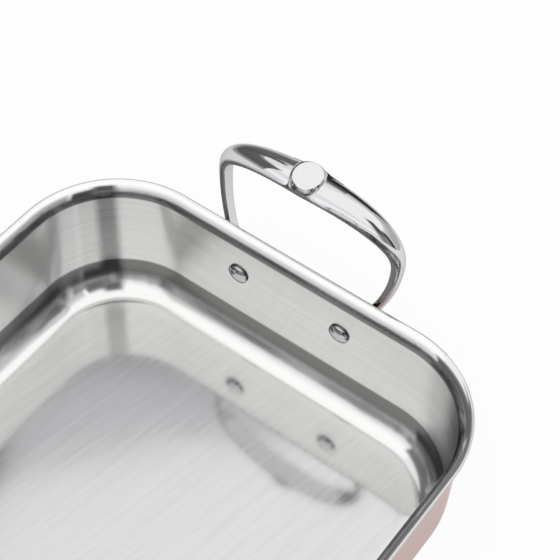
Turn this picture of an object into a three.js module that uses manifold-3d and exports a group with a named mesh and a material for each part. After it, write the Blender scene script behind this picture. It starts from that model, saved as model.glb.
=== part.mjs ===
// Clad roasting pan with two upright cast loop handles, each held by two rivets.
// Millimetres, +Z up. The origin is the middle of the flat underside, +X runs along the pan.

import * as THREE from 'three';
import { mergeVertices } from 'three/addons/utils/BufferGeometryUtils.js';
import Module from 'manifold-3d';

const wasm = await Module();
wasm.setup();

// Pan body: sizes over the lip, depth inside
const rimLength = 350;
const rimWidth = 250;
const rimCornerRadius = 55.5;
const innerDepth = 75;
const wallDraft = THREE.MathUtils.degToRad(1);
const flareRadius = 6.4; // inside face, where the wall rolls out into the pouring lip
const floorFillet = 13; // inside face, between floor and wall

// Clad sheet, from the cooking side out
const linerThickness = 0.6;
const coreThickness = 1.2;
const skinThickness = 0.6;
const bondGap = 0.05; // bond line between two layers
const hemWidth = 1.4; // solid steel edge of the liner that closes over the other two layers
const hemChamfer = 0.4;

// Rivets
const rivetSpacing = 61.6; // along the end wall, two to a handle
const rivetDepth = 26.5; // below the lip, measured on the inside face
const rivetHeadDiameter = 11.9; // low dome inside the pan
const rivetHeadEdge = 0.7; // straight side of the head
const rivetHeadDome = 1.6;
const shankDiameter = 6;
const shankClearance = 0.15;
const tailDiameter = 9.6; // formed head on the handle's foot
const tailHeight = 1.8;
const tailClearance = 0.6;
const seatGap = 0.1;

// Handle loop, heights above the lip, widths to the flat inner face
const gripHalfWidth = 48.2;
const gripWideHeight = 25; // where the loop is widest
const gripBarHeight = 50.3;
const gripRoundness = 2.3; // exponent of the superellipse that rounds the shoulders
const bowReach = 7.9; // how far outside the lip the loop stands
const bowHeight = 28;
const bowRadius = 105; // the loop is bowed in side view

// Handle section: width across the loop, straight side, crown of the outer face
const barWidth = 16.6;
const barSide = 1.4;
const barCrown = 5.6;
const shoulderWidth = 13;
const shoulderSide = 1.8;
const shoulderCrown = 5.4;
const legWidth = 6.8;
const legSide = 2.6;
const legCrown = 2.6;
const ankleWidth = 4.8;
const ankleSide = 2.4;
const ankleCrown = 2;
const gripEdge = 0.5; // broken edge along the flat inner face
const crownPower = 2.2;

// Handle foot: a round pad on the wall
const padDiameter = 17;
const padThickness = 5.4; // before it is faced to the wall
const padSeat = 4.2; // pad left under the rivet's formed head
const ankleLean = 7.5; // how far the leg runs in to the wall over its last third
const ankleTuck = 9.8; // how far it runs in to the rivet over its last third
const legPull = 0.42; // share of the fall over which the leg keeps the loop's direction
const anklePull = 0.36; // share of the fall over which it turns in to the foot
const ankleShare = 0.67; // share of the leg down to the ankle's section
const padShare = 0.55; // share of the leg down to where the pad starts to spread

// Round boss in the middle of the bar, and the plain disc let into the first one
const bossDiameter = 15.2;
const bossStandProud = 0.6;
const discThickness = 1.2;
const studDiameter = 5;
const studLength = 2.6;

// Facets
const cornerSteps = 6;
const filletSteps = 5;
const flareSteps = 5;
const barSteps = 12;
const legSteps = 9;
const toeSteps = 4;
const toeFlat = 0.4; // part of a step left flat at the tip of the toe
const crownSteps = 8;
const roundSides = 20;
const domeSteps = 4;

const wallThickness = linerThickness + coreThickness + skinThickness + 2 * bondGap;
const lipHeight = wallThickness + innerDepth;
const cosDraft = Math.cos(wallDraft);
const sinDraft = Math.sin(wallDraft);

// Solids and booleans

function geometryOf(vertices, triangles) {
  const geometry = new THREE.BufferGeometry();
  geometry.setAttribute('position', new THREE.Float32BufferAttribute(vertices, 3));
  geometry.setIndex(triangles);
  return geometry;
}

function solidOf(geometry) {
  const bare = geometry.clone();
  bare.deleteAttribute('normal');
  bare.deleteAttribute('uv');
  const merged = mergeVertices(bare);
  return new wasm.Manifold(new wasm.Mesh({
    numProp: 3,
    vertProperties: new Float32Array(merged.attributes.position.array),
    triVerts: new Uint32Array(merged.index.array),
  }));
}

function geometryFrom(solid) {
  const mesh = solid.getMesh();
  return geometryOf(Array.from(mesh.vertProperties), Array.from(mesh.triVerts));
}

// Closed body through a row of rings, each with the same number of points, flat caps at both ends.
function loft(rings) {
  const count = rings[0].length;
  const vertices = [];
  const triangles = [];
  rings.forEach((ring) => ring.forEach((point) => vertices.push(...point.toArray())));
  for (let row = 0; row + 1 < rings.length; row += 1) {
    for (let side = 0; side < count; side += 1) {
      const next = (side + 1) % count;
      const a = row * count + side;
      const b = row * count + next;
      triangles.push(a, b, b + count, a, b + count, a + count);
    }
  }
  const cap = (ring, first, flip) => {
    const middle = vertices.length / 3;
    const centre = new THREE.Vector3();
    ring.forEach((point) => centre.add(point));
    vertices.push(...centre.divideScalar(count).toArray());
    for (let side = 0; side < count; side += 1) {
      const next = (side + 1) % count;
      triangles.push(middle, first + (flip ? next : side), first + (flip ? side : next));
    }
  };
  cap(rings[0], 0, true);
  cap(rings[rings.length - 1], (rings.length - 1) * count, false);
  return geometryOf(vertices, triangles);
}

// Pan body: every layer is a section swept round the rounded rectangle of the rim.
// A section point is its inset from the lip's outer edge and its height.

const flareCentre = new THREE.Vector2(0, lipHeight - flareRadius);
const wallTop = new THREE.Vector2(flareRadius * cosDraft, flareCentre.y + flareRadius * sinDraft);
const wallRun = (wallTop.y - wallThickness - floorFillet * (1 - sinDraft)) / cosDraft;
const filletCentre = new THREE.Vector2(
  wallTop.x + wallRun * sinDraft + floorFillet * cosDraft,
  wallThickness + floorFillet,
);

// Face of the sheet at a depth below the cooking side, from the floor out to an inset at the lip.
function facePath(depth, lipInset) {
  const path = [];
  const filletRadius = floorFillet + depth;
  const rollRadius = flareRadius - depth;
  const upright = Math.PI / 2 - wallDraft;
  for (let step = 0; step <= filletSteps; step += 1) {
    const turn = (upright * step) / filletSteps;
    path.push(new THREE.Vector2(
      filletCentre.x - filletRadius * Math.sin(turn),
      filletCentre.y - filletRadius * Math.cos(turn),
    ));
  }
  const last = Math.asin(lipInset / rollRadius);
  for (let step = 0; step <= flareSteps; step += 1) {
    const turn = upright + ((last - upright) * step) / flareSteps;
    path.push(new THREE.Vector2(
      flareCentre.x + rollRadius * Math.sin(turn),
      flareCentre.y + rollRadius * Math.cos(turn),
    ));
  }
  return path;
}

function rimRing(inset, height) {
  const radius = rimCornerRadius - inset;
  const middleX = rimLength / 2 - rimCornerRadius;
  const middleY = rimWidth / 2 - rimCornerRadius;
  const ring = [];
  for (let corner = 0; corner < 4; corner += 1) {
    const signX = corner === 0 || corner === 3 ? 1 : -1;
    const signY = corner < 2 ? 1 : -1;
    for (let step = 0; step <= cornerSteps; step += 1) {
      const turn = (Math.PI / 2) * (corner + step / cornerSteps);
      ring.push(new THREE.Vector3(
        signX * middleX + radius * Math.cos(turn),
        signY * middleY + radius * Math.sin(turn),
        height,
      ));
    }
  }
  return ring;
}

function sweptLayer(section) {
  return loft(section.map((point) => rimRing(point.x, point.y)));
}

function linerSection() {
  const hemTop = lipHeight;
  const hemFoot = lipHeight - wallThickness;
  const hem = [
    new THREE.Vector2(0, hemTop - hemChamfer),
    new THREE.Vector2(0, hemFoot + hemChamfer),
    new THREE.Vector2(hemChamfer, hemFoot),
    new THREE.Vector2(hemWidth, hemFoot),
  ];
  const inside = facePath(0, hemChamfer);
  const outside = facePath(linerThickness, hemWidth);
  return [...outside, ...hem.reverse(), ...inside.reverse()];
}

function middleSection(depth, thickness) {
  const edge = hemWidth + bondGap;
  const inside = facePath(depth, edge);
  const outside = facePath(depth + thickness, edge);
  return [...outside, ...inside.reverse()];
}

// Rivets: axis square to the drafted end wall, running out from the inside face.

const rivetInset = wallTop.x + (rivetDepth - (lipHeight - wallTop.y)) * Math.tan(wallDraft);
const rivetGrip = wallThickness + 2 * seatGap + padSeat;
const shankHole = shankDiameter + 2 * shankClearance;

// Place of one rivet: origin on the inside face, local Y out along the axis.
function rivetFrame(side) {
  const frame = new THREE.Group();
  frame.position.set(rimLength / 2 - rivetInset, (side * rivetSpacing) / 2, lipHeight - rivetDepth);
  frame.rotation.set(0, wallDraft, -Math.PI / 2);
  frame.updateMatrix();
  return frame;
}

// Low dome profile from the rim of a head to its middle.
function domeProfile(radius, height, base, direction) {
  const sphere = (radius * radius + height * height) / (2 * height);
  const spread = Math.asin(radius / sphere);
  const points = [];
  for (let step = 0; step <= domeSteps; step += 1) {
    const turn = spread * (1 - step / domeSteps);
    const rise = sphere * Math.cos(turn) - (sphere - height);
    const reach = step === domeSteps ? 0 : sphere * Math.sin(turn);
    points.push(new THREE.Vector2(reach, base + direction * rise));
  }
  return points;
}

function rivetGeometry() {
  const head = domeProfile(rivetHeadDiameter / 2, rivetHeadDome, -seatGap - rivetHeadEdge, -1);
  const tail = domeProfile(tailDiameter / 2, tailHeight, rivetGrip, 1);
  const profile = [
    ...head.reverse(),
    new THREE.Vector2(rivetHeadDiameter / 2, -seatGap),
    new THREE.Vector2(shankDiameter / 2, -seatGap),
    new THREE.Vector2(shankDiameter / 2, rivetGrip),
    ...tail,
  ];
  return new THREE.LatheGeometry(profile, roundSides);
}

// Round cutter along a rivet's axis, between two distances from the inside face.
function axisCutter(side, diameter, from, to) {
  const cutter = new THREE.CylinderGeometry(diameter / 2, diameter / 2, to - from, roundSides);
  cutter.translate(0, (from + to) / 2, 0);
  cutter.applyMatrix4(rivetFrame(side).matrix);
  return cutter;
}

// Four shank holes, two at each end of the pan.
function drilled(geometry) {
  let solid = solidOf(geometry);
  for (const side of [1, -1]) {
    const hole = axisCutter(side, shankHole, -wallThickness, 2 * wallThickness);
    solid = solid.subtract(solidOf(hole));
    solid = solid.subtract(solidOf(hole.rotateZ(Math.PI)));
  }
  return geometryFrom(solid);
}

// Handle: a D-shaped section lofted along a loop that is bowed in side view.

const footInset = rivetInset - wallThickness / cosDraft;
const padCentre = padSeat / 2;
const footPoint = new THREE.Vector3(
  rimLength / 2 - footInset + padCentre * cosDraft,
  rivetSpacing / 2,
  lipHeight - rivetDepth - padCentre * sinDraft,
);

function bowedX(heightAboveLip) {
  return rimLength / 2 + bowReach - (heightAboveLip - bowHeight) ** 2 / (2 * bowRadius);
}

// Section sizes ride on a smooth curve from the bar over the shoulder and the leg to the ankle.
const sectionSizes = new THREE.CatmullRomCurve3([
  new THREE.Vector3(barWidth, barSide, barCrown),
  new THREE.Vector3(shoulderWidth, shoulderSide, shoulderCrown),
  new THREE.Vector3(legWidth, legSide, legCrown),
  new THREE.Vector3(ankleWidth, ankleSide, ankleCrown),
]);
const legTop = 2 / 3; // place of the leg on that curve

// Half of the loop's path, from the middle of the bar to the toe of one foot.
// Each station has its point, its section and where the section's flat face lies beside the path.
function gripStations() {
  const stations = [];
  const riseAboveWide = gripBarHeight - gripWideHeight;
  for (let step = 0; step <= barSteps; step += 1) {
    const turn = (Math.PI / 2) * (1 - step / barSteps);
    const out = Math.max(Math.cos(turn), 0) ** (2 / gripRoundness);
    const up = Math.sin(turn) ** (2 / gripRoundness);
    const height = gripWideHeight + riseAboveWide * up;
    const size = sectionSizes.getPoint((step / barSteps) * legTop);
    stations.push({
      point: new THREE.Vector3(bowedX(height), step === 0 ? 0 : gripHalfWidth * out, lipHeight + height),
      width: size.x,
      side: size.y,
      crown: size.z,
      base: 0,
    });
  }
  const top = stations[barSteps].point;
  const fall = top.z - footPoint.z;
  const lean = (gripWideHeight - bowHeight) / bowRadius;
  const leg = new THREE.CubicBezierCurve3(
    top,
    new THREE.Vector3(top.x + lean * fall * legPull, top.y, top.z - fall * legPull),
    new THREE.Vector3(footPoint.x + ankleLean, footPoint.y + ankleTuck, footPoint.z + fall * anklePull),
    footPoint,
  );
  for (let step = 1; step <= legSteps; step += 1) {
    const along = step / legSteps;
    const size = sectionSizes.getPoint(THREE.MathUtils.lerp(legTop, 1, Math.min(along / ankleShare, 1)));
    const spread = THREE.MathUtils.smoothstep(along, padShare, 1);
    stations.push({
      point: leg.getPoint(along),
      width: THREE.MathUtils.lerp(size.x, padThickness, spread),
      side: THREE.MathUtils.lerp(size.y, padDiameter / 2, spread),
      crown: THREE.MathUtils.lerp(size.z, padDiameter / 2, spread),
      base: (-padDiameter / 2) * spread,
    });
  }
  const down = leg.getTangent(1);
  for (let step = 1; step <= toeSteps; step += 1) {
    const turn = ((Math.PI / 2) * step) / (toeSteps + toeFlat);
    const half = (padDiameter / 2) * Math.cos(turn);
    stations.push({
      point: footPoint.clone().addScaledVector(down, (padDiameter / 2) * Math.sin(turn)),
      width: padThickness,
      side: half,
      crown: half,
      base: -half,
    });
  }
  return stations;
}

// Section outline: distance across the loop and distance out from its flat inner face.
function gripOutline(station) {
  const half = station.width / 2;
  const base = station.base;
  const outline = [
    [half - gripEdge, base],
    [half, base + gripEdge],
  ];
  for (let step = 0; step <= crownSteps; step += 1) {
    const across = Math.cos((Math.PI * step) / crownSteps);
    const rise = 1 - Math.abs(across) ** crownPower;
    outline.push([half * across, base + station.side + station.crown * rise]);
  }
  outline.push([-half, base + gripEdge], [-half + gripEdge, base]);
  return outline;
}

function gripRings() {
  const half = gripStations();
  const mirrored = half.slice(1).map((station) => ({
    ...station,
    point: station.point.clone().multiply(new THREE.Vector3(1, -1, 1)),
  }));
  const stations = [...half.reverse(), ...mirrored];
  return stations.map((station, index) => {
    const before = stations[Math.max(index - 1, 0)].point;
    const after = stations[Math.min(index + 1, stations.length - 1)].point;
    const tangent = after.clone().sub(before).normalize();
    const lean = -(station.point.z - lipHeight - bowHeight) / bowRadius;
    const across = new THREE.Vector3(1, 0, -lean);
    across.addScaledVector(tangent, -across.dot(tangent)).normalize();
    const out = new THREE.Vector3().crossVectors(tangent, across);
    return gripOutline(station).map(([sideways, outward]) => station.point.clone()
      .addScaledVector(across, sideways)
      .addScaledVector(out, outward));
  });
}

// Place of the boss: origin on the bar's flat inner face, local Y square to the boss's face.
const bossFrame = new THREE.Group();
const bossLean = (gripBarHeight - bowHeight) / bowRadius;
bossFrame.position.set(bowedX(gripBarHeight), 0, lipHeight + gripBarHeight);
bossFrame.rotation.set(Math.PI / 2, -Math.atan(bossLean), 0, 'YXZ');
bossFrame.updateMatrix();
const bossFace = barSide + barCrown + bossStandProud;

function bossCylinder(diameter, from, to) {
  const cylinder = new THREE.CylinderGeometry(diameter / 2, diameter / 2, to - from, roundSides);
  cylinder.translate(0, (from + to) / 2, 0);
  cylinder.applyMatrix4(bossFrame.matrix);
  return solidOf(cylinder);
}

// Block on the pan's side of the foot's seat, to face the pads to the drafted wall.
function wallBlock() {
  const reach = rivetSpacing;
  const block = new THREE.BoxGeometry(reach, rivetSpacing + 2 * reach, reach);
  block.translate(-reach / 2, 0, 0);
  const tilt = new THREE.Matrix4().makeRotationY(wallDraft);
  const place = new THREE.Matrix4().makeTranslation(
    rimLength / 2 - footInset + seatGap,
    0,
    lipHeight - rivetDepth,
  );
  block.applyMatrix4(place.multiply(tilt));
  return solidOf(block);
}

function handleGeometry(withDisc) {
  let solid = solidOf(loft(gripRings()));
  solid = solid.subtract(wallBlock());
  const seat = wallThickness + seatGap + padSeat;
  const tailHole = tailDiameter + 2 * tailClearance;
  for (const side of [1, -1]) {
    solid = solid.subtract(solidOf(axisCutter(side, shankHole, 0, seat + padDiameter)));
    solid = solid.subtract(solidOf(axisCutter(side, tailHole, seat, seat + padDiameter)));
  }
  const plainFace = withDisc ? bossFace - discThickness : bossFace;
  solid = solid.add(bossCylinder(bossDiameter, gripEdge, plainFace));
  if (withDisc) {
    solid = solid.subtract(bossCylinder(bossDiameter + 2 * seatGap, plainFace, 2 * bossFace));
    const hole = studDiameter + 2 * shankClearance;
    solid = solid.subtract(bossCylinder(hole, plainFace - studLength - seatGap, 2 * bossFace));
  }
  return geometryFrom(solid);
}

// Plain disc with a stud on its back that presses into the boss.
function discGeometry() {
  const back = bossFace - discThickness + seatGap;
  const profile = [
    new THREE.Vector2(0, bossFace - discThickness - studLength),
    new THREE.Vector2(studDiameter / 2, bossFace - discThickness - studLength),
    new THREE.Vector2(studDiameter / 2, back),
    new THREE.Vector2(bossDiameter / 2, back),
    new THREE.Vector2(bossDiameter / 2, bossFace),
    new THREE.Vector2(0, bossFace),
  ];
  return new THREE.LatheGeometry(profile, roundSides);
}

// Finishes

const brushedSteel = new THREE.MeshStandardMaterial({ color: 0xc9c8c5, roughness: 0.35, metalness: 1 });
const polishedSteel = new THREE.MeshStandardMaterial({ color: 0xd9d9db, roughness: 0.08, metalness: 1 });
const satinCopper = new THREE.MeshStandardMaterial({ color: 0xcf9f90, roughness: 0.3, metalness: 1 });
const plainAluminium = new THREE.MeshStandardMaterial({ color: 0xb9bbbe, roughness: 0.5, metalness: 1 });
const satinSteel = new THREE.MeshStandardMaterial({ color: 0xe2e2e1, roughness: 0.25, metalness: 1 });

// Assembly

function piece(name, geometry, material) {
  const mesh = new THREE.Mesh(geometry, material);
  mesh.name = name;
  return mesh;
}

const pan = new THREE.Group();
const coreDepth = linerThickness + bondGap;
const skinDepth = coreDepth + coreThickness + bondGap;
pan.add(piece('inner_liner', drilled(sweptLayer(linerSection())), brushedSteel));
pan.add(piece('core_sheet', drilled(sweptLayer(middleSection(coreDepth, coreThickness))), plainAluminium));
pan.add(piece('outer_skin', drilled(sweptLayer(middleSection(skinDepth, skinThickness))), satinCopper));

for (const [end, turn] of [['front', 0], ['rear', Math.PI]]) {
  const assembly = new THREE.Group();
  assembly.rotation.z = turn;
  assembly.add(piece(`${end}_handle`, handleGeometry(end === 'front'), polishedSteel));
  for (const [hand, side] of [['left', 1], ['right', -1]]) {
    const place = rivetFrame(side);
    place.add(piece(`${end}_rivet_${hand}`, rivetGeometry(), polishedSteel));
    assembly.add(place);
  }
  pan.add(assembly);
}
bossFrame.add(piece('front_disc', discGeometry(), satinSteel));
pan.add(bossFrame);

export default pan;
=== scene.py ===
import math

import bmesh
import bpy
from mathutils import Matrix, Quaternion, Vector


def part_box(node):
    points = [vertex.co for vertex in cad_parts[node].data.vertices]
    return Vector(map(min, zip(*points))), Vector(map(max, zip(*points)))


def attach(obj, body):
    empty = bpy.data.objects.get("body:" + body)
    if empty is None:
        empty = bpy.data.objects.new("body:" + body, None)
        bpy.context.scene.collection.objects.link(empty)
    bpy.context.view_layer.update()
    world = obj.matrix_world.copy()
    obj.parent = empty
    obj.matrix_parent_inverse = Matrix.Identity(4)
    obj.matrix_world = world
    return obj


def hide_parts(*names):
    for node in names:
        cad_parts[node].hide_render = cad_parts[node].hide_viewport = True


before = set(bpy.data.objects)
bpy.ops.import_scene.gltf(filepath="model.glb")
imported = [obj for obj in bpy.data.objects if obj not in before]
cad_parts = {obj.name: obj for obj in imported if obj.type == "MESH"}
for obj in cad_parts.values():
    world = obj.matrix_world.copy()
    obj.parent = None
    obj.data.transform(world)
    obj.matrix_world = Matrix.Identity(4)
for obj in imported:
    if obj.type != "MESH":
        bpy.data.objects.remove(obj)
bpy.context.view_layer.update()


# Inner liner: the cooking side, stainless sheet drawn together with the two layers bonded behind it.
# Its floor is slightly crowned and brushed lengthwise, its wall is brushed round the pan, and the
# fillet and the flared lip are polished. A band of painted shade darkens the fillet and the flare.
# A solid steel hem at the lip closes over the other layers.

pan_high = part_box("inner_liner")[1]
half_length = pan_high.x
half_width = pan_high.y
corner_radius = 0.0555
inner_depth = 0.075
wall_draft = math.radians(1)
flare_reach = 0.0064
flare_drop = 0.0084
floor_fillet = 0.013
fillet_rise = 0.021
floor_crown = 0.001
crown_start = 0.6
liner_thickness = 0.0006
core_thickness = 0.0012
skin_thickness = 0.0006
bond_gap = 0.00005
hem_width = 0.0014
hem_round = 0.0007
wall_thickness = liner_thickness + core_thickness + skin_thickness + 2 * bond_gap
lip_height = wall_thickness + inner_depth

corner_steps = 32
fillet_steps = 18
flare_steps = 20
hem_steps = 5
floor_rings = 24

flare_turn = math.atan(flare_reach / (flare_drop * math.tan(wall_draft)))
flare_height = lip_height - flare_drop
wall_top = Vector((
    flare_reach * math.sin(flare_turn),
    flare_height + flare_drop * math.cos(flare_turn),
))
fillet_turn = math.atan(floor_fillet / (fillet_rise * math.tan(wall_draft)))
fillet_height = wall_thickness + fillet_rise
wall_foot = fillet_height - fillet_rise * math.cos(fillet_turn)
wall_foot_inset = wall_top.x + (wall_top.y - wall_foot) * math.tan(wall_draft)
fillet_inset = wall_foot_inset + floor_fillet * math.sin(fillet_turn)

floor_grain_turn = math.radians(-10)
brush_start = math.radians(62)
foot_brushed = 0.35
# Steepness in degrees where each bend's painted shade starts, is darkest, starts to clear and is clear.
fillet_painted_shade = (64, 73, 86, 90)
flare_painted_shade = (32, 82, 85, 90)


def smooth_share(value, start, stop):
    """Ease from 0 at the start to 1 at the stop."""
    share = min(max((value - start) / (stop - start), 0), 1)
    return share * share * (3 - 2 * share)


def painted_shade_share(steepness, first, full, still, last):
    """Share of painted shade on a bend: a dark band between the first and the last steepness."""
    angle = math.degrees(steepness)
    return smooth_share(angle, first, full) * smooth_share(angle, last, still)


def sheet_face(depth, lip_inset):
    """Face of the sheet at a depth below the cooking side, as a path from the floor to the lip.

    Each point gives its inset from the lip's outer edge, its height, its brushing and its painted
    shade.
    """
    path = []
    for step in range(fillet_steps + 1):
        turn = fillet_turn * step / fillet_steps
        inset = fillet_inset - (floor_fillet + depth) * math.sin(turn)
        height = fillet_height - (fillet_rise + depth) * math.cos(turn)
        steepness = math.atan2(fillet_rise * math.sin(turn), floor_fillet * math.cos(turn))
        brushed = max(smooth_share(steepness, brush_start, math.pi / 2), foot_brushed)
        path.append((inset, height, brushed, painted_shade_share(steepness, *fillet_painted_shade)))
    last = math.asin(lip_inset / (flare_reach - depth))
    for step in range(flare_steps + 1):
        turn = flare_turn + (last - flare_turn) * step / flare_steps
        inset = (flare_reach - depth) * math.sin(turn)
        height = flare_height + (flare_drop - depth) * math.cos(turn)
        steepness = math.atan2(flare_drop * math.sin(turn), flare_reach * math.cos(turn))
        brushed = smooth_share(steepness, brush_start, math.pi / 2)
        path.append((inset, height, brushed, painted_shade_share(steepness, *flare_painted_shade)))
    return path


def hem_edge():
    """Path round the outer edge of the steel hem, from its underside up to the top of the lip."""
    underside = lip_height - wall_thickness
    path = [(hem_width, underside, 0.0, 0.0)]
    for middle, first in ((underside + hem_round, math.pi), (lip_height - hem_round, math.pi / 2)):
        for step in range(hem_steps + 1):
            turn = first - math.pi / 2 * step / hem_steps
            inset = hem_round - hem_round * math.sin(turn)
            path.append((inset, middle + hem_round * math.cos(turn), 0.0, 0.0))
    return path


def rim_ring(inset, height):
    """Rounded rectangle at an inset from the lip's outer edge."""
    ring = []
    radius = corner_radius - inset
    for corner in range(4):
        middle_x = (half_length - corner_radius) * (1 if corner in (0, 3) else -1)
        middle_y = (half_width - corner_radius) * (1 if corner < 2 else -1)
        for step in range(corner_steps + 1):
            turn = math.pi / 2 * (corner + step / corner_steps)
            x = middle_x + radius * math.cos(turn)
            y = middle_y + radius * math.sin(turn)
            ring.append(Vector((x, y, height)))
    return ring


def crowned_floor(edge):
    """Rings from the edge of the floor in to its middle, rising to the crown."""
    rings = []
    for step in range(1, floor_rings):
        shrink = 1 - step / floor_rings
        rise = floor_crown * (1 - max((shrink - crown_start) / (1 - crown_start), 0) ** 2)
        rings.append([Vector((point.x * shrink, point.y * shrink, point.z + rise)) for point in edge])
    return rings


def running_lengths(points):
    """Length along a row of points, up to each of them."""
    lengths = [0.0]
    for here, there in zip(points, points[1:]):
        lengths.append(lengths[-1] + (there - here).length)
    return lengths


def close_rings(body, rings):
    """Rows of faces from each ring of points to the next, and one face across each end."""
    rows = []
    for near, far in zip(rings, rings[1:]):
        row = []
        for side in range(len(near)):
            after = (side + 1) % len(near)
            row.append(body.faces.new((near[side], near[after], far[after], far[side])))
        rows.append(row)
    ends = [body.faces.new(rings[0]), body.faces.new(rings[-1])]
    return rows, ends


# Steps along a row and to the next row for the four corners of a face.
face_corners = ((0, 0), (1, 0), (1, 1), (0, 1))


def new_piece(name, data):
    """Put a mesh, light or camera into the scene."""
    piece = bpy.data.objects.new(name, data)
    bpy.context.scene.collection.objects.link(piece)
    return piece


def finished_body(name, body):
    """Piece made from a built body, with its faces turned outwards."""
    bmesh.ops.recalc_face_normals(body, faces=body.faces)
    mesh = bpy.data.meshes.new(name)
    body.to_mesh(mesh)
    body.free()
    return new_piece(name, mesh)


def swept_sheet(name, path, *finishes):
    """Closed sheet swept round the pan along a path that starts and ends at the edge of the floor.

    The wall takes the first finish and the floor the last.
    The grain runs round the wall and lengthwise along the floor.
    """
    wall = [rim_ring(inset, height) for inset, height, brushed, painted_shade in path]
    rings = crowned_floor(wall[0])[::-1] + wall + crowned_floor(wall[-1])
    floor_finish_and_shade = [(1.0, 0.0)] * (floor_rings - 1)
    finish_and_shade = floor_finish_and_shade + [(brushed, painted_shade) for inset, height, brushed, painted_shade in path] + floor_finish_and_shade
    lip = rings[len(rings) // 2]
    around = running_lengths(lip + lip[:1])
    along = running_lengths([Vector((inset, height)) for inset, height, brushed, painted_shade in path])

    shell = bmesh.new()
    grain = shell.loops.layers.uv.new("grain")
    brushed_layer = shell.verts.layers.float.new("brushed")
    painted_shade_layer = shell.verts.layers.float.new("painted_shade")
    verts = []
    for ring, (brushed, painted_shade) in zip(rings, finish_and_shade):
        verts.append([shell.verts.new(point) for point in ring])
        for vert in verts[-1]:
            vert[brushed_layer] = brushed
            vert[painted_shade_layer] = painted_shade
    rows, ends = close_rings(shell, verts)
    wall_start = floor_rings - 1
    wall_end = wall_start + len(path) - 1
    for row, faces in enumerate(rows[wall_start:wall_end]):
        for side, face in enumerate(faces):
            for loop, (turn, lift) in zip(face.loops, face_corners):
                loop[grain].uv = (around[side + turn], along[row + lift])
    floor_grain = Matrix.Rotation(-floor_grain_turn, 2)
    for faces in rows[:wall_start] + rows[wall_end:] + [ends]:
        for face in faces:
            face.material_index = len(finishes) - 1
            for loop in face.loops:
                loop[grain].uv = floor_grain @ loop.vert.co.xy
    sheet = finished_body(name, shell)
    sheet.data.shade_smooth()
    for finish in finishes:
        sheet.data.materials.append(finish)
    return sheet


def carve(piece, tool):
    """Cut a tool out of a piece, and drop the tool."""
    cut = piece.modifiers.new("cut", "BOOLEAN")
    cut.operation = "DIFFERENCE"
    cut.object = tool
    cut.solver = "EXACT"
    depsgraph = bpy.context.evaluated_depsgraph_get()
    mesh = bpy.data.meshes.new_from_object(piece.evaluated_get(depsgraph))
    piece.modifiers.clear()
    piece.data = mesh
    bpy.data.objects.remove(tool)


hole_sides = 48


def round_cutter(radius, start, end, place, sides=hole_sides):
    """Round tool along the local Z of a place."""
    rod = bmesh.new()
    bmesh.ops.create_cone(
        rod, cap_ends=True, segments=sides, radius1=radius, radius2=radius, depth=end - start,
        matrix=place @ Matrix.Translation((0, 0, (start + end) / 2)),
    )
    return finished_body("tool", rod)


rivet_spacing = 0.0616
rivet_depth = 0.0265
rivet_height = lip_height - rivet_depth
rivet_inset = wall_top.x + (wall_top.y - rivet_height) * math.tan(wall_draft)
shank_hole_radius = 0.00315
drill_start = -0.004
drill_end = 0.006
hole_edge_angle = math.radians(40)


def rivet_place(end, side):
    """On the inside face of an end wall, with local Z pointing out along the rivet."""
    place = Matrix.Translation((half_length - rivet_inset, side * rivet_spacing / 2, rivet_height))
    place = place @ Matrix.Rotation(math.pi / 2 + wall_draft, 4, "Y")
    return Matrix.Rotation(0 if end > 0 else math.pi, 4, "Z") @ place


def drill_rivet_holes(sheet):
    """Drill the four holes. The points that the drill leaves get the finish of the wall."""
    for end in (1, -1):
        for side in (1, -1):
            place = rivet_place(end, side)
            carve(sheet, round_cutter(shank_hole_radius, drill_start, drill_end, place))
    brushed = sheet.data.attributes["brushed"].data
    painted_shade = sheet.data.attributes["painted_shade"].data
    for vert in sheet.data.vertices:
        if wall_foot < vert.co.z < wall_top.y:
            brushed[vert.index].value = 1.0
            painted_shade[vert.index].value = 0.0
    sheet.data.set_sharp_from_angle(angle=hole_edge_angle)


def node_kit(owner):
    """Short helpers to add nodes and links to a material or the world."""
    owner.use_nodes = True
    tree = owner.node_tree
    tree.nodes.clear()

    def add(kind, **settings):
        node = tree.nodes.new(kind)
        for name, value in settings.items():
            setattr(node, name, value)
        return node

    def join(source, target):
        tree.links.new(source, target)

    return add, join


grain_detail = 3.0


def grain_lines(add, join, across, along):
    """Noise drawn out into lines along the grain: how many to a metre across it and along it."""
    uv = add("ShaderNodeUVMap", uv_map="grain")
    mapping = add("ShaderNodeMapping")
    mapping.inputs["Scale"].default_value = (along, across, 1.0)
    join(uv.outputs["UV"], mapping.inputs["Vector"])
    noise = add("ShaderNodeTexNoise", noise_dimensions="2D")
    noise.inputs["Scale"].default_value = 1.0
    noise.inputs["Detail"].default_value = grain_detail
    join(mapping.outputs["Vector"], noise.inputs["Vector"])
    return noise.outputs["Fac"]


def remap(add, join, value, low, high, start=0.3, stop=0.7):
    """Bring the usual range of a noise, or another range, to a low and a high value."""
    span = add("ShaderNodeMapRange")
    span.inputs["From Min"].default_value = start
    span.inputs["From Max"].default_value = stop
    span.inputs["To Min"].default_value = low
    span.inputs["To Max"].default_value = high
    join(value, span.inputs["Value"])
    return span.outputs["Result"]


def blend(add, join, kind, share, first, second):
    """Blend two numbers or two colours, each given as it is or as the output of a node."""
    mix = add("ShaderNodeMix", data_type=kind)
    join(share, mix.inputs["Factor"])
    for socket, value in ((mix.inputs["A"], first), (mix.inputs["B"], second)):
        if isinstance(value, bpy.types.NodeSocket):
            join(value, socket)
        else:
            socket.default_value = (*value, 1.0) if kind == "RGBA" else value
    return mix.outputs["Result"]


grazing_tint = (0.7, 0.7, 0.7, 1.0)
across_grain = 0.25


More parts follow.
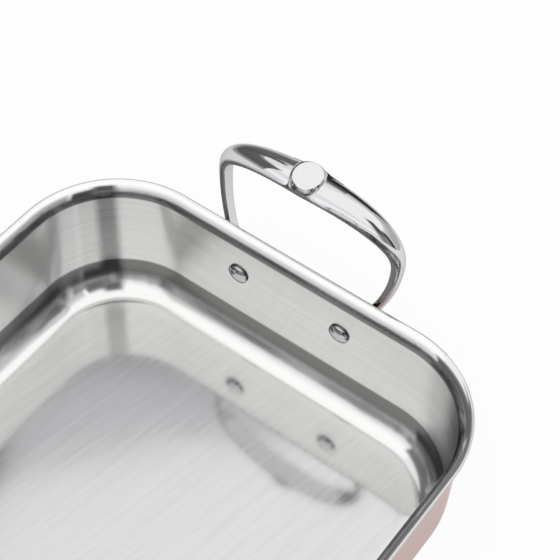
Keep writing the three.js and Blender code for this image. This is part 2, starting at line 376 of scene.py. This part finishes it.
def metal(add, join, colour, roughness, anisotropic=0.0):
    """Bare metal. Where it is brushed, its highlights are drawn out across the grain."""
    shader = add("ShaderNodeBsdfPrincipled")
    shader.inputs["Metallic"].default_value = 1.0
    shader.inputs["Specular Tint"].default_value = grazing_tint
    join(colour, shader.inputs["Base Color"])
    join(roughness, shader.inputs["Roughness"])
    if anisotropic:
        shader.inputs["Anisotropic"].default_value = anisotropic
        shader.inputs["Anisotropic Rotation"].default_value = across_grain
        tangent = add("ShaderNodeTangent", direction_type="UV_MAP", uv_map="grain")
        join(tangent.outputs["Tangent"], shader.inputs["Tangent"])
    output = add("ShaderNodeOutputMaterial")
    join(shader.outputs["BSDF"], output.inputs["Surface"])
    return shader


polished_tone = (0.84, 0.84, 0.835)
# Painted shade: a near-black tone blended into the liner's steel along its bends, up to a share.
painted_shade_tone = (0.17, 0.166, 0.162)
painted_shade_most = 0.9
hairline_roughness = 0.05
brush_depth = 0.00001


def brushed_steel(name, dark, light, across, along, bends, smooth, rough, anisotropic, relief):
    """Steel brushed along its grain where it is worked, brighter and smoother where it is polished."""
    material = bpy.data.materials.new(name)
    add, join = node_kit(material)
    fine = grain_lines(add, join, across, along)
    coarse = grain_lines(add, join, across=320, along=5)
    scratches = grain_lines(add, join, across=1500, along=9)
    worked = add("ShaderNodeAttribute", attribute_name="brushed").outputs["Fac"]
    painted_shade = add("ShaderNodeAttribute", attribute_name="painted_shade").outputs["Fac"]

    hairlines = remap(add, join, scratches, 0.0, 1.0, start=0.58, stop=0.74)
    strokes = remap(add, join, fine, smooth, rough)
    lines = blend(add, join, "FLOAT", hairlines, strokes, rough + hairline_roughness)
    roughness = blend(add, join, "FLOAT", worked, bends, lines)

    both = add("ShaderNodeMath", operation="ADD")
    join(fine, both.inputs[0])
    join(coarse, both.inputs[1])
    streaks = remap(add, join, both.outputs[0], 0.0, 1.0, start=0.7, stop=1.3)
    brushed = blend(add, join, "RGBA", streaks, dark, light)
    clean = blend(add, join, "RGBA", worked, polished_tone, brushed)
    # Painted shade: the steel darkens towards the near-black tone where the sheet is marked for it.
    shade = remap(add, join, painted_shade, 0.0, painted_shade_most, start=0.0, stop=1.0)
    colour = blend(add, join, "RGBA", shade, clean, painted_shade_tone)

    shader = metal(add, join, colour, roughness, anisotropic)
    bump = add("ShaderNodeBump")
    bump.inputs["Distance"].default_value = brush_depth
    bump.inputs["Strength"].default_value = relief
    join(fine, bump.inputs["Height"])
    join(bump.outputs["Normal"], shader.inputs["Normal"])
    return material


wall_steel = brushed_steel(
    "brushed_wall_steel", dark=(0.765, 0.76, 0.75), light=(0.825, 0.82, 0.81), across=1100, along=8,
    bends=0.14, smooth=0.17, rough=0.22, anisotropic=0.95, relief=0.01,
)
floor_steel = brushed_steel(
    "brushed_floor_steel", dark=(0.71, 0.71, 0.705), light=(0.75, 0.75, 0.745), across=420, along=36,
    bends=0.05, smooth=0.095, rough=0.125, anisotropic=0.3, relief=0.003,
)
liner_path = sheet_face(liner_thickness, hem_width) + hem_edge() + sheet_face(0.0, hem_round)[::-1]
liner = swept_sheet("liner", liner_path, wall_steel, floor_steel)
drill_rivet_holes(liner)
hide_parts("inner_liner")
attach(liner, "root")


# Core sheet: plain aluminium between the liner and the skin, bonded to both and closed in by the hem.
# It spreads the heat and isn't seen.

core_depth = liner_thickness + bond_gap
core_dark = (0.68, 0.68, 0.70)
core_light = (0.76, 0.76, 0.78)


def layer_path(depth, thickness):
    """Outer face of a layer from the floor up to the hem, and back down its inner face."""
    inset = hem_width + bond_gap
    return sheet_face(depth + thickness, inset) + sheet_face(depth, inset)[::-1]


def rolled_aluminium():
    material = bpy.data.materials.new("rolled_core_aluminium")
    add, join = node_kit(material)
    rolling = grain_lines(add, join, across=900, along=20)
    colour = blend(add, join, "RGBA", rolling, core_dark, core_light)
    metal(add, join, colour, remap(add, join, rolling, low=0.4, high=0.55))
    return material


core = swept_sheet("core", layer_path(core_depth, core_thickness), rolled_aluminium())
drill_rivet_holes(core)
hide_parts("core_sheet")
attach(core, "root")


# Outer skin: thin copper sheet, the outside of the pan from the underside up to the lip's hem.
# It is bonded to the core, and brushed lightly round the pan to a satin finish.

skin_depth = core_depth + core_thickness + bond_gap
copper_dark = (0.88, 0.625, 0.572)
copper_light = (0.915, 0.675, 0.627)


def satin_copper():
    material = bpy.data.materials.new("satin_skin_copper")
    add, join = node_kit(material)
    fine = grain_lines(add, join, across=700, along=7)
    broad = grain_lines(add, join, across=30, along=3)
    streaks = remap(add, join, fine, low=0.0, high=1.0)
    colour = blend(add, join, "RGBA", streaks, copper_dark, copper_light)
    metal(add, join, colour, remap(add, join, broad, low=0.17, high=0.22), anisotropic=0.5)
    return material


skin = swept_sheet("skin", layer_path(skin_depth, skin_thickness), satin_copper())
drill_rivet_holes(skin)
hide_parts("outer_skin")
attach(skin, "root")


# Handles: one cast stainless loop at each end, mirror polished, crowned outside and flat inside.
# The legs thin towards the ankles and spread into round pads, riveted to the end wall below the lip.
# A round boss stands in the middle of the bar, bored in front for the disc and plain at the rear.
# The sides of each loop and the edges of its crown are rougher, and darkened with painted shade.

grip_half_width = 0.0482
grip_wide_height = 0.025
grip_bar_height = 0.0503
grip_roundness = 2.3
bow_reach = 0.0079
bow_height = 0.028
bow_radius = 0.105
# Each section is its width, the height of its straight edge and the height of its crown above that.
bar_section = Vector((0.0166, 0.0014, 0.0056))
shoulder_section = Vector((0.013, 0.0018, 0.0054))
leg_section = Vector((0.0073, 0.0026, 0.0026))
ankle_section = Vector((0.0058, 0.0024, 0.002))
grip_sections = [bar_section, shoulder_section, leg_section, ankle_section]
leg_top = grip_sections.index(leg_section) / (len(grip_sections) - 1)
crown_power = 2.2
grip_edge = 0.0005
ground_and_shade_edge = 0.0008
leg_pull = 0.42
ankle_pull = 0.36
ankle_lean = 0.0055
ankle_tuck = 0.0098
ankle_share = 0.67
pad_share = 0.55
pad_radius = 0.0085
pad_thickness = 0.0054
pad_seat = 0.0042
seat_gap = 0.0001
tail_hole_radius = 0.0054
boss_radius = 0.0076
boss_proud = 0.0006
boss_fall = 0.006
boss_flare = 0.0014
boss_blend = 0.0012
boss_reach = 0.014
boss_face = bar_section.y + bar_section.z + boss_proud
disc_thickness = 0.0012
stud_hole_radius = 0.00265
stud_length = 0.0026

boss_steps = 60
bar_steps = 40
leg_steps = 36
toe_steps = 10
toe_blunt = 0.4
crown_steps = 80
edge_steps = 3
boss_sides = 96
sharp_angle = math.radians(28)

foot_inset = rivet_inset - wall_thickness / math.cos(wall_draft)
foot = Vector((
    half_length - foot_inset + pad_seat / 2 * math.cos(wall_draft),
    rivet_spacing / 2,
    rivet_height - pad_seat / 2 * math.sin(wall_draft),
))


def bowed_x(height):
    """Place along the pan of the loop's middle line, at a height above the lip."""
    return half_length + bow_reach - (height - bow_height) ** 2 / (2 * bow_radius)


def smooth_curve(points, share):
    """Smooth curve through evenly spaced points, at a share of the way along."""
    spans = len(points) - 1
    place = min(share, 1) * spans
    span = min(int(place), spans - 1)
    t = place - span
    before = points[span - 1] if span else 2 * points[0] - points[1]
    here = points[span]
    there = points[span + 1]
    after = points[span + 2] if span + 2 <= spans else 2 * points[-1] - points[-2]
    bend = 2 * before - 5 * here + 4 * there - after
    twist = 3 * here - before - 3 * there + after
    return 0.5 * (2 * here + (there - before) * t + bend * t ** 2 + twist * t ** 3)


def bar_stations():
    """Stations from the middle of the bar to the top of a leg, closest together at the boss.

    A station is a point of the loop's middle line, its section, and how far out its flat face lies.
    """
    boss_span = boss_reach / grip_half_width
    boss_end = math.acos(boss_span ** (grip_roundness / 2))
    turns = []
    for step in range(boss_steps):
        turns.append(math.acos((boss_span * step / boss_steps) ** (grip_roundness / 2)))
    for step in range(bar_steps + 1):
        turns.append(boss_end * (1 - step / bar_steps))
    stations = []
    for turn in turns:
        out = max(math.cos(turn), 0) ** (2 / grip_roundness)
        up = max(math.sin(turn), 0) ** (2 / grip_roundness)
        height = grip_wide_height + (grip_bar_height - grip_wide_height) * up
        point = Vector((bowed_x(height), grip_half_width * out, lip_height + height))
        section = smooth_curve(grip_sections, (1 - turn / (math.pi / 2)) * leg_top)
        stations.append((point, section, 0.0))
    return stations


def leg_stations(top):
    """Stations from the top of a leg down to the middle of its pad, and round the toe."""
    fall = top.z - foot.z
    lean = (grip_wide_height - bow_height) / bow_radius
    knee = Vector((top.x + lean * fall * leg_pull, top.y, top.z - fall * leg_pull))
    ankle = Vector((foot.x + ankle_lean, foot.y + ankle_tuck, foot.z + fall * ankle_pull))
    pad_section = Vector((pad_thickness, pad_radius, pad_radius))
    stations = []
    for step in range(1, leg_steps + 1):
        t = step / leg_steps
        s = 1 - t
        point = top * s ** 3 + knee * 3 * s * s * t + ankle * 3 * s * t * t + foot * t ** 3
        section = smooth_curve(grip_sections, leg_top + (1 - leg_top) * min(t / ankle_share, 1))
        spread = smooth_share(t, pad_share, 1)
        stations.append((point, section.lerp(pad_section, spread), -pad_radius * spread))
    down = (foot - ankle).normalized()
    for step in range(1, toe_steps + 1):
        turn = math.pi / 2 * step / (toe_steps + toe_blunt)
        half = pad_radius * math.cos(turn)
        point = foot + down * (pad_radius * math.sin(turn))
        stations.append((point, Vector((pad_thickness, half, half)), -half))
    return stations


def boss_height(across, along, out):
    """Height of the crown with the boss flared into it, at a place on the bar."""
    reach = max(math.hypot(across, along) - boss_radius, -boss_flare / 2)
    flare = boss_face - boss_fall * (1 - math.exp(-reach / boss_flare))
    overlap = max(boss_blend - abs(flare - out), 0)
    return max(flare, out) + overlap ** 2 / (4 * boss_blend)


def loop_section(section, base, along):
    """D-shaped outline: across the loop, out from its flat face, and its share of rough edge with
    painted shade.
    """
    half = section.x / 2
    right = []
    for step in range(edge_steps + 1):
        turn = math.pi / 2 * step / edge_steps
        across = half - grip_edge + grip_edge * math.sin(turn)
        right.append((across, base + grip_edge - grip_edge * math.cos(turn), step / edge_steps))
    crown = []
    for step in range(crown_steps + 1):
        across = math.cos(math.pi * step / crown_steps)
        out = base + section.y + section.z * (1 - abs(across) ** crown_power)
        if along < boss_reach:
            out = boss_height(half * across, along, out)
        # Near each edge the crown is marked as rough and darkened with painted shade.
        crown.append((half * across, out, max(0, 1 - (1 - abs(across)) * half / ground_and_shade_edge)))
    left = [(-across, out, ground_and_shade) for across, out, ground_and_shade in right[::-1]]
    return right + crown + left


def loop_rings():
    """Outlines along the whole loop from toe to toe, square to its run and leaning with its bow."""
    half = bar_stations()
    half += leg_stations(half[-1][0])
    mirrored = []
    for point, section, base in half[1:]:
        mirrored.append((Vector((point.x, -point.y, point.z)), section, base))
    stations = half[::-1] + mirrored
    rings = []
    for index, (point, section, base) in enumerate(stations):
        before = stations[max(index - 1, 0)][0]
        after = stations[min(index + 1, len(stations) - 1)][0]
        tangent = (after - before).normalized()
        lean = -(point.z - lip_height - bow_height) / bow_radius
        sideways = Vector((1, 0, -lean))
        sideways = (sideways - tangent * sideways.dot(tangent)).normalized()
        outwards = tangent.cross(sideways)
        ring = []
        for across, out, ground_and_shade in loop_section(section, base, abs(point.y)):
            ring.append((point + sideways * across + outwards * out, ground_and_shade))
        rings.append(ring)
    return rings


def cast_loop(name):
    """Closed body through the outlines of the loop, flat at both toes."""
    body = bmesh.new()
    ground_and_shade_layer = body.verts.layers.float.new("ground_and_shade")
    verts = []
    for ring in loop_rings():
        verts.append([body.verts.new(point) for point, ground_and_shade in ring])
        for vert, (point, ground_and_shade) in zip(verts[-1], ring):
            vert[ground_and_shade_layer] = ground_and_shade
    close_rings(body, verts)
    return finished_body(name, body)


def wall_block():
    """Tool on the pan's side of the pads, to face them to the drafted wall."""
    reach = rivet_spacing
    pads_width = 3 * rivet_spacing
    place = Matrix.Translation((half_length - foot_inset + seat_gap, 0, rivet_height))
    place = place @ Matrix.Rotation(wall_draft, 4, "Y") @ Matrix.Translation((-reach / 2, 0, 0))
    block = bmesh.new()
    bmesh.ops.create_cube(block, size=1, matrix=place @ Matrix.Diagonal((reach, pads_width, reach, 1)))
    return finished_body("tool", block)


boss_lean = math.atan((grip_bar_height - bow_height) / bow_radius)
boss_place = Matrix.Translation((bowed_x(grip_bar_height), 0, lip_height + grip_bar_height))
boss_place = boss_place @ Matrix.Rotation(-boss_lean, 4, "Y")

haze_scale = 55.0
haze_detail = 4.0
# Painted shade: a dark tone for the marked edges of the handles and rivets, which are also rougher.
painted_edge_shade_tone = (0.2, 0.195, 0.185)
ground_roughness = 0.22


def polished_steel(name, dark, light, smooth, rough):
    """Mirror polish with a faint haze; marked edges are rougher, and darkened with painted shade."""
    material = bpy.data.materials.new(name)
    add, join = node_kit(material)
    place = add("ShaderNodeTexCoord").outputs["Object"]
    noise = add("ShaderNodeTexNoise")
    noise.inputs["Scale"].default_value = haze_scale
    noise.inputs["Detail"].default_value = haze_detail
    join(place, noise.inputs["Vector"])
    haze = noise.outputs["Fac"]
    ground_and_shade = add("ShaderNodeAttribute", attribute_name="ground_and_shade").outputs["Fac"]
    polish = blend(add, join, "RGBA", haze, dark, light)
    # Painted shade: the marked edges take the dark tone.
    colour = blend(add, join, "RGBA", ground_and_shade, polish, painted_edge_shade_tone)
    polish_roughness = remap(add, join, haze, smooth, rough)
    metal(add, join, colour, blend(add, join, "FLOAT", ground_and_shade, polish_roughness, ground_roughness))
    return material


mirror_steel = polished_steel(
    "polished_handle_steel",
    dark=(0.68, 0.68, 0.685), light=(0.73, 0.73, 0.735), smooth=0.035, rough=0.075,
)
tail_seat = wall_thickness + seat_gap + pad_seat
disc_back = boss_face - disc_thickness
stud_hole_end = disc_back - stud_length - seat_gap
past_pad = tail_seat + 2 * pad_radius
past_boss = 2 * boss_face
for end, label in ((1, "front"), (-1, "rear")):
    handle = cast_loop(label + "_loop")
    carve(handle, wall_block())
    for side in (1, -1):
        carve(handle, round_cutter(shank_hole_radius, 0, past_pad, rivet_place(1, side)))
        carve(handle, round_cutter(tail_hole_radius, tail_seat, past_pad, rivet_place(1, side)))
    if end > 0:
        disc_seat = round_cutter(boss_radius + seat_gap, disc_back, past_boss, boss_place, boss_sides)
        carve(handle, disc_seat)
        carve(handle, round_cutter(stud_hole_radius, stud_hole_end, past_boss, boss_place))
    else:
        carve(handle, round_cutter(2 * boss_radius, boss_face, past_boss, boss_place, boss_sides))
        handle.data.transform(Matrix.Rotation(math.pi, 4, "Z"))
    handle.data.shade_smooth()
    handle.data.set_sharp_from_angle(angle=sharp_angle)
    handle.data.materials.clear()
    handle.data.materials.append(mirror_steel)
    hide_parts(label + "_handle")
    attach(handle, "root")


# Rivets: turned stainless, two through the feet of each handle.
# A low polished dome lies on the liner inside the pan. Its rim is rough from grinding and has painted
# shade.
# The tail is formed to a dome in the pad's counterbore.

rivet_head_radius = 0.0057
rivet_head_edge = 0.0007
rivet_head_dome = 0.0019
rivet_ground_and_shade_share = 0.9
shank_radius = 0.003
tail_radius = 0.0048
tail_height = 0.0018
dome_steps = 14
rivet_sides = 64


def dome(radius, height, base, direction):
    """Low dome from the rim of a head to just short of its middle."""
    sphere = (radius ** 2 + height ** 2) / (2 * height)
    spread = math.asin(radius / sphere)
    profile = []
    for step in range(dome_steps):
        turn = spread * (1 - step / dome_steps)
        rise = sphere * math.cos(turn) - (sphere - height)
        profile.append((sphere * math.sin(turn), base + direction * rise))
    return profile


def turned(name, profile, place, sides, ground_and_shade_share=1.0):
    """Solid of revolution about the local Z of a place, with its grain running round it.

    Past a share of its widest radius it is rough from grinding, not polished, and marked for painted
    shade.
    """
    body = bmesh.new()
    grain = body.loops.layers.uv.new("grain")
    ground_and_shade_layer = body.verts.layers.float.new("ground_and_shade")
    along = running_lengths([Vector(point) for point in profile])
    widest = max(radius for radius, height in profile)
    rings = []
    for radius, height in profile:
        ground_and_shade = smooth_share(radius / widest, ground_and_shade_share, 1) if ground_and_shade_share < 1 else 0.0
        ring = []
        for side in range(sides):
            turn = 2 * math.pi * side / sides
            point = Vector((radius * math.cos(turn), radius * math.sin(turn), height))
            ring.append(body.verts.new(place @ point))
            ring[-1][ground_and_shade_layer] = ground_and_shade
        rings.append(ring)
    rows, ends = close_rings(body, rings)
    for row, faces in enumerate(rows):
        for side, face in enumerate(faces):
            for loop, (turn, lift) in zip(face.loops, face_corners):
                loop[grain].uv = (2 * math.pi * widest * (side + turn) / sides, along[row + lift])
    piece = finished_body(name, body)
    piece.data.shade_smooth()
    piece.data.set_sharp_from_angle(angle=sharp_angle)
    return piece


rivet_grip = tail_seat + seat_gap
rivet_profile = (
    dome(rivet_head_radius, rivet_head_dome, -seat_gap - rivet_head_edge, -1)[::-1]
    + [(rivet_head_radius, -seat_gap), (shank_radius, -seat_gap), (shank_radius, rivet_grip)]
    + dome(tail_radius, tail_height, rivet_grip, 1)
)
# The rivets' steel is a darker copy of the handles' polished steel: painted shade.
shaded_rivet_steel = polished_steel(
    "polished_rivet_steel",
    dark=(0.56, 0.56, 0.56), light=(0.63, 0.63, 0.63), smooth=0.05, rough=0.11,
)
for end, label in ((1, "front"), (-1, "rear")):
    for side, hand in ((1, "left"), (-1, "right")):
        place = rivet_place(end, side)
        rivet = turned(f"{label}_{hand}_rivet", rivet_profile, place, rivet_sides, rivet_ground_and_shade_share)
        rivet.data.materials.append(shaded_rivet_steel)
        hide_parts(f"{label}_rivet_{hand}")
        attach(rivet, "root")


# Disc: a plain round of stainless let into the front handle's boss, held by a stud pressed in behind.
# Its face is turned to a fine satin and its edge is broken.

disc_edge = 0.00025
disc_middle = 0.0004
disc_dark = (0.86, 0.86, 0.855)
disc_light = (0.91, 0.91, 0.905)
stud_radius = 0.0025
disc_profile = [
    (disc_middle, disc_back - stud_length),
    (stud_radius, disc_back - stud_length),
    (stud_radius, disc_back + seat_gap),
    (boss_radius, disc_back + seat_gap),
    (boss_radius, boss_face - disc_edge),
    (boss_radius - disc_edge, boss_face),
    (disc_middle, boss_face),
]


def turned_satin():
    material = bpy.data.materials.new("satin_disc_steel")
    add, join = node_kit(material)
    rings = grain_lines(add, join, across=5000, along=40)
    colour = blend(add, join, "RGBA", rings, disc_dark, disc_light)
    metal(add, join, colour, remap(add, join, rings, low=0.18, high=0.28))
    return material


disc = turned("plain_disc", disc_profile, boss_place, boss_sides)
disc.data.materials.append(turned_satin())
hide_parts("front_disc")
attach(disc, "root")


# Studio: a white floor that keeps the pan's soft shadow, white all round, and a wide light overhead.
# Grey screens, dark flags and a white screen stand round the set. They are only there for the polish
# to mirror, and nothing else shows them.

floor_reach = 4.0
floor_grey = 0.7
floor_seen_white = 0.92
floor_mirrored_white = 0.35
ambient_level = 0.55
square = ((-1, -1), (1, -1), (1, 1), (-1, 1))


def seen_or_mirrored(add, join, seen_share, mirrored_share):
    """One share for rays from the camera and one for rays from a mirror or clear glass.

    It is 0 for light that falls on a matt surface.
    """
    ray = add("ShaderNodeLightPath")
    shares = {
        "Is Camera Ray": seen_share,
        "Is Glossy Ray": mirrored_share,
        "Is Transmission Ray": mirrored_share,
    }
    total = None
    for kind, share in shares.items():
        scaled = add("ShaderNodeMath", operation="MULTIPLY")
        scaled.inputs[1].default_value = share
        join(ray.outputs[kind], scaled.inputs[0])
        if total is None:
            total = scaled.outputs[0]
        else:
            either = add("ShaderNodeMath", operation="MAXIMUM")
            join(total, either.inputs[0])
            join(scaled.outputs[0], either.inputs[1])
            total = either.outputs[0]
    return total


def mix_shaders(add, join, share, first, second, output_kind):
    """Blend two shaders by a share, and join the blend to the output."""
    mix = add("ShaderNodeMixShader")
    join(share, mix.inputs[0])
    join(first.outputs[0], mix.inputs[1])
    join(second.outputs[0], mix.inputs[2])
    join(mix.outputs[0], add(output_kind).inputs["Surface"])


def new_card(name, corners, faces=((0, 1, 2, 3),)):
    """Thin card of the set, with one flat face unless more are given."""
    mesh = bpy.data.meshes.new(name)
    mesh.from_pydata(corners, [], faces)
    return new_piece(name, mesh)


floor = new_card("floor", [(x * floor_reach, y * floor_reach, 0) for x, y in square])
floor_paint = bpy.data.materials.new("floor_paint")
add, join = node_kit(floor_paint)
paint = add("ShaderNodeBsdfDiffuse")
paint.inputs["Color"].default_value = (floor_grey, floor_grey, floor_grey, 1)
glow = add("ShaderNodeEmission")
glow_share = seen_or_mirrored(add, join, floor_seen_white, floor_mirrored_white)
mix_shaders(add, join, glow_share, paint, glow, "ShaderNodeOutputMaterial")
floor.data.materials.append(floor_paint)

world = bpy.data.worlds.new("studio")
bpy.context.scene.world = world
add, join = node_kit(world)
ambient = add("ShaderNodeBackground")
ambient.inputs["Strength"].default_value = ambient_level
white = add("ShaderNodeBackground")
for background in (ambient, white):
    background.inputs["Color"].default_value = (1, 1, 1, 1)
mix_shaders(add, join, seen_or_mirrored(add, join, 1, 1), ambient, white, "ShaderNodeOutputWorld")

light_height = 1.5
light_turn = math.radians(53)
light_width = 5.0
light_length = 4.2


def overhead_light(name, far_edge, length, drop, brightness):
    """Wide soft light above the pan, out to an edge past its far side; a brightness of 1 is white."""
    lamp = bpy.data.lights.new(name, "AREA")
    lamp.shape = "RECTANGLE"
    lamp.size = length
    lamp.size_y = light_width
    lamp.energy = brightness * math.pi * length * light_width
    light = new_piece(name, lamp)
    middle = far_edge - length / 2
    light.location = (middle * math.cos(light_turn), middle * math.sin(light_turn), light_height - drop)
    light.rotation_euler.z = light_turn
    light.visible_camera = False
    return light


light = overhead_light("wide_light", far_edge=0.99, length=light_length, drop=0, brightness=1.0)
overhead_light("near_light", far_edge=0.5, length=3.55, drop=0.01, brightness=0.18)


def only_mirrored(card, material):
    """Make a card one that only a mirror shows, and that casts no light or shadow."""
    card.data.materials.append(material)
    card.visible_camera = False
    card.visible_diffuse = False
    card.visible_shadow = False


def grey_card(name, corners, grey):
    """Flat card of one grey, for the polish to mirror."""
    material = bpy.data.materials.new(name)
    add, join = node_kit(material)
    glow = add("ShaderNodeEmission")
    glow.inputs["Strength"].default_value = grey
    join(glow.outputs[0], add("ShaderNodeOutputMaterial").inputs["Surface"])
    only_mirrored(new_card(name, corners), material)


housing_gap = 0.01
housing_corners = []
for along, across in square:
    corner = Vector((along * light_length / 2, across * light_width / 2, housing_gap))
    housing_corners.append(Matrix.Rotation(light_turn, 4, "Z") @ corner + light.location)
grey_card("light_housing", housing_corners, grey=0.0)

corner_flag_height = 1.46
corner_flag_reach = ((0.443, 0.749), (0.573, 1.106), (0.34, 1.164), (0.287, 0.788))
grey_card("corner_flag", [(x, y, corner_flag_height) for x, y in corner_flag_reach], grey=0.15)

screen_steps = 24
screen_blue = 1.04


def screen(name, first, last, distance, top, *tones, soft=0.0, fall=0.0):
    """Curved upright screen between two bearings in degrees, its sides thinning out over some degrees.

    Its tones are greys at heights, blended from one to the next.
    Its top may fall along it, and the tones fall with it.
    """
    corners = []
    covers = []
    rises = []
    for step in range(screen_steps + 1):
        turn = (last - first) * step / screen_steps
        bearing = math.radians(first + turn)
        cover = smooth_share(min(turn, last - first - turn), 0.0, soft) if soft else 1.0
        for rise in (0, 1):
            height = rise * (top - fall * step / screen_steps)
            corners.append((distance * math.cos(bearing), distance * math.sin(bearing), height))
            covers.append(cover)
            rises.append(rise)
    faces = [(2 * step, 2 * step + 2, 2 * step + 3, 2 * step + 1) for step in range(screen_steps)]
    card = new_card(name, corners, faces)
    card.data.attributes.new("cover", "FLOAT", "POINT").data.foreach_set("value", covers)
    card.data.attributes.new("rise", "FLOAT", "POINT").data.foreach_set("value", rises)
    material = bpy.data.materials.new(name)
    add, join = node_kit(material)
    ramp = add("ShaderNodeValToRGB")
    stops = ramp.color_ramp.elements
    while len(stops) < len(tones):
        stops.new(1.0)
    for stop, (height, grey) in zip(stops, tones):
        stop.position = height / top
        stop.color = (grey, grey, grey * screen_blue, 1)
    join(add("ShaderNodeAttribute", attribute_name="rise").outputs["Fac"], ramp.inputs["Fac"])
    glow = add("ShaderNodeEmission")
    join(ramp.outputs["Color"], glow.inputs["Color"])
    cover = add("ShaderNodeAttribute", attribute_name="cover").outputs["Fac"]
    mix_shaders(add, join, cover, add("ShaderNodeBsdfTransparent"), glow, "ShaderNodeOutputMaterial")
    only_mirrored(card, material)


# Each screen's bearings, distance and top, and then its heights and greys from the ground up.
screen("far_wall", 22, 55, 1.25, 3.0, (0.05, 0.42), (0.4, 0.17), (1.35, 0.17), (1.6, 0.62))
screen("far_left_wall", 55, 77, 1.25, 2.35,
       (0.1, 0.45), (0.4, 0.13), (2.1, 0.14), (2.35, 0.3), fall=1.0)
screen("left_wall", 77, 137, 1.25, 1.35,
       (0.07, 0.45), (0.28, 0.13), (1.1, 0.15), (1.35, 0.5), fall=0.25)
screen("far_wall_end", 8, 22, 1.25, 1.7, (0.85, 0.16), (1.3, 0.68))
screen("black_flag", -6, 13, 0.55, 0.27, (0.2, 0.04), (0.27, 0.1))
screen("right_wall", -92, 8, 1.3, 1.3, (0.7, 0.57), (1.3, 0.9))
screen("near_flag_low", -121, -97, 1.25, 1.1, (0.8, 0.08), (1.1, 0.6))
screen("near_flag", -150, -111, 0.95, 1.46, (0.3, 0.3), (0.5, 0.1), (1.46, 0.1), soft=12.0)
screen("left_white", 131, 211, 1.3, 0.4, (0.02, 0.85), (0.2, 1.2))


# Camera: a long lens on a full-size sensor, looking down at the front end from over a rear corner.
# Its place, direction and roll were fitted to the rim, the rivets and the front handle.

camera_place = Vector((-0.21066, -0.25019, 0.64003))
camera_direction = Vector((0.5159, 0.3481, -0.7828))
camera_roll = math.radians(2.78)
camera_data = bpy.data.cameras.new("camera")
camera_data.sensor_width = 36
camera_data.lens = 96.43
camera = new_piece("camera", camera_data)
camera.location = camera_place
camera.rotation_mode = "QUATERNION"
camera_aim = camera_direction.to_track_quat("-Z", "Y")
camera.rotation_quaternion = camera_aim @ Quaternion((0, 0, 1), camera_roll)
bpy.context.scene.camera = camera
bpy.context.scene.view_settings.view_transform = "Standard"
